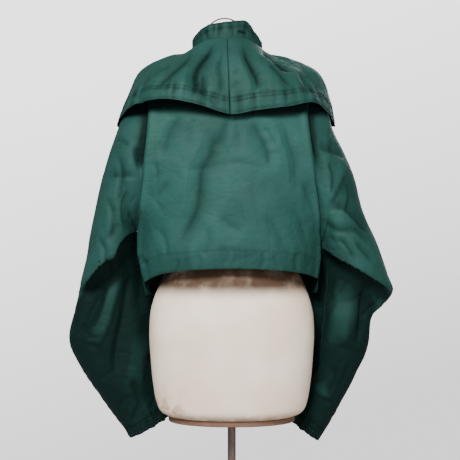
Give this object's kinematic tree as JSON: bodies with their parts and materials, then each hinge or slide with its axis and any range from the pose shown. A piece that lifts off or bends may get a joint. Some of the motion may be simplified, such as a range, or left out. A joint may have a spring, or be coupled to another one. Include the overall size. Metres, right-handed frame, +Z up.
{
  "type": "hooded blouson jacket on dress form with stand",
  "caption": "Cropped hooded blouson jacket with full sleeves and a front zip, its hood spread over the shoulders, worn by a limbless dress form on a round-based pole stand.",
  "frame": {"origin": "centre of the underside of the stand's round base, on the floor", "axes": "+Z up along the pole, -Y towards the jacket's front with its zip, +X to the wearer's left"},
  "size_m": [0.6295, 0.38, 1.4236],
  "materials": {
    "nylon": "thin dark green nylon taffeta with a soft sheen",
    "linen": "cream linen stretched over the form, a little soiled at its lower edge",
    "wood": "brown varnished wood",
    "bronze": "bronze-brown metal, half gloss",
    "zip_metal": "aged brass"
  },
  "bodies": {
    "root": {"back_panel": "nylon", "front_left": "nylon", "front_right": "nylon", "sleeve_left": "nylon", "sleeve_right": "nylon", "cuff_left": "nylon", "cuff_right": "nylon", "collar_stand": "nylon", "hood_left": "nylon", "hood_right": "nylon", "zip_chain": "zip_metal", "zip_slider": "zip_metal", "snap_left": "zip_metal", "snap_right": "zip_metal", "form_torso": "linen", "form_base_plate": "wood", "form_neck_cap": "wood", "form_bail": "bronze", "stand_base": "bronze", "stand_pole": "bronze"},
    "pull": {"zip_pull": "zip_metal"}
  },
  "joints": [
    {"name": "pull_swing", "type": "hinge", "parent": "root", "child": "pull", "pos_m": [0.0085, -0.08754, 1.33424], "axis": [-1, 0, 0], "range_deg": [0, 150]}
  ]
}
